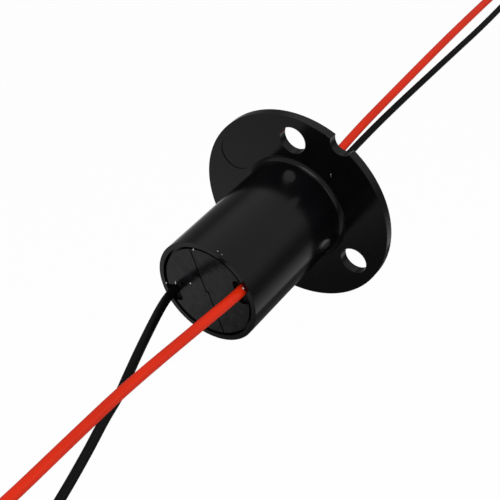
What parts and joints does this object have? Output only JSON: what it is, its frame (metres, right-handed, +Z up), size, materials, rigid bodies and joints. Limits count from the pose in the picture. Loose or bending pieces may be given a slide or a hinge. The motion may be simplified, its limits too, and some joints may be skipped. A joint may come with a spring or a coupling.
{
  "type": "slip ring",
  "caption": "Flange-mounted capsule slip ring whose brushes and ball-bearing rotor carry red and black leads across a turning joint.",
  "frame": {"origin": "centre of the flange's mounting face, on the rotor's axis", "axes": "+X along the rotor axis, from the tubular body to the rotor boss and its leads; +Z up, through the top bolt hole; +Y completes the right-handed set"},
  "size_m": [0.263, 0.044, 0.044],
  "materials": {
    "housing_plastic": "satin gloss black moulding",
    "shell_plastic": "satin black moulding",
    "boss_plastic": "satin black moulding",
    "circuit_board": "green solder mask",
    "gold_wire": "gold plated spring wire",
    "tinned_copper": "tinned",
    "grip_rubber": "black rubber",
    "bearing_steel": "ground and polished",
    "cage_brass": "pressed",
    "tube_brass": "drawn",
    "ring_brass": "gold plated, polished grooves",
    "insulator": "natural plastic",
    "clip_steel": "phosphated",
    "copper_post": "copper",
    "potting": "cured epoxy",
    "red_insulation": "glossy wire insulation",
    "black_insulation": "glossy wire insulation",
    "tie_plastic": "nylon"
  },
  "bodies": {
    "stator": {"housing": "housing_plastic", "brush_shell_red": "shell_plastic", "brush_shell_black": "shell_plastic", "brush_board_red": "circuit_board", "brush_board_black": "circuit_board", "brush_wires_red": "gold_wire", "brush_wires_black": "gold_wire", "solder_lug_red": "tinned_copper", "solder_lug_black": "tinned_copper", "lead_grip_red": "grip_rubber", "lead_grip_black": "grip_rubber", "front_outer_race": "bearing_steel", "rear_outer_race": "bearing_steel", "stator_lead_red": "red_insulation", "stator_lead_black": "black_insulation", "stator_coil_red": "red_insulation", "stator_coil_black": "black_insulation", "stator_tip_red": "tinned_copper", "stator_tip_black": "tinned_copper", "stator_tie": "tie_plastic"},
    "rotor": {"rotor_tube": "tube_brass", "rotor_boss": "boss_plastic", "ring_red": "ring_brass", "ring_black": "ring_brass", "spacer_front": "insulator", "spacer_middle": "insulator", "spacer_rear": "insulator", "front_inner_race": "bearing_steel", "rear_inner_race": "bearing_steel", "retaining_ring": "clip_steel", "terminal_red": "copper_post", "terminal_black": "copper_post", "rotor_seal": "potting", "rotor_lead_red": "red_insulation", "rotor_lead_black": "black_insulation", "rotor_coil_red": "red_insulation", "rotor_coil_black": "black_insulation", "rotor_tip_red": "tinned_copper", "rotor_tip_black": "tinned_copper", "rotor_tie": "tie_plastic"},
    "front_ball_cage": {"front_cage": "cage_brass", "front_balls": "bearing_steel"},
    "rear_ball_cage": {"rear_cage": "cage_brass", "rear_balls": "bearing_steel"}
  },
  "joints": [
    {"name": "rotor_spin", "type": "hinge", "parent": "stator", "child": "rotor", "pos_m": [0, 0, 0], "axis": [1, 0, 0], "continuous": true},
    {"name": "front_cage_spin", "type": "hinge", "parent": "stator", "child": "front_ball_cage", "pos_m": [0, 0, 0], "axis": [1, 0, 0], "continuous": true},
    {"name": "rear_cage_spin", "type": "hinge", "parent": "stator", "child": "rear_ball_cage", "pos_m": [-0.027, 0, 0], "axis": [1, 0, 0], "continuous": true}
  ],
  "couplings": [
    {"joint": "front_cage_spin", "follows": "rotor_spin", "ratio": 0.4111},
    {"joint": "rear_cage_spin", "follows": "rotor_spin", "ratio": 0.4111}
  ]
}
